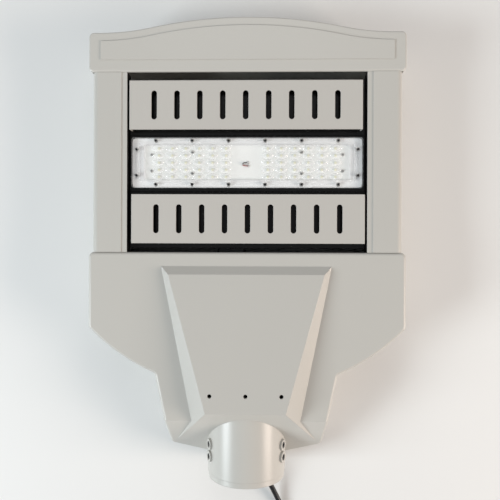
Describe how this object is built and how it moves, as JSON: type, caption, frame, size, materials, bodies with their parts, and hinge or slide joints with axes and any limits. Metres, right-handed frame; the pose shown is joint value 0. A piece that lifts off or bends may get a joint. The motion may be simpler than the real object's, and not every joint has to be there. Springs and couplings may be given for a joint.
{
  "type": "led street light head",
  "caption": "Flat street light head with a lens-covered LED module in a framed window, slotted blank plates, a tapered driver housing and a round pole spigot with its supply cable.",
  "frame": {"origin": "on the floor plane, under the middle of the head's length and width, cable left out", "axes": "+Z out of the light-emitting face, +Y towards the front cap, spigot towards -Y"},
  "size_m": [0.394, 0.7568, 0.1109],
  "materials": {
    "powder_coat": "satin powder coat",
    "powder_coat_rail": "satin powder coat",
    "stainless": "plain",
    "black_anodised": "black anodised",
    "driver_case": "satin",
    "silicone": "matt",
    "grommet_rubber": "matt",
    "cable_rubber": "satin",
    "gland_plastic": "matt",
    "terminal_plastic": "gloss",
    "board_white": "white solder mask",
    "phosphor": "yellow phosphor",
    "clear_lens": "clear polycarbonate"
  },
  "bodies": {
    "root": {"front_cap": "powder_coat", "rail_left": "powder_coat_rail", "rail_right": "powder_coat_rail", "rear_housing": "powder_coat", "driver_cover": "powder_coat", "driver_cover_gasket": "silicone", "driver_cover_screws": "stainless", "led_driver": "driver_case", "terminal_block": "terminal_plastic", "cable_gland": "gland_plastic", "module_grommet": "grommet_rubber", "module_cable": "cable_rubber", "heatsink_front": "black_anodised", "heatsink_middle": "black_anodised", "heatsink_rear": "black_anodised", "heatsink_screws": "stainless", "blank_plate_front": "powder_coat", "blank_plate_rear": "powder_coat", "lens_gasket": "silicone", "led_board": "board_white", "led_chips": "phosphor", "lens_plate": "clear_lens", "front_cap_screws": "stainless", "rail_screws": "stainless", "spigot_set_screws": "stainless", "input_cable": "cable_rubber", "input_cable_coil": "cable_rubber"}
  },
  "joints": []
}
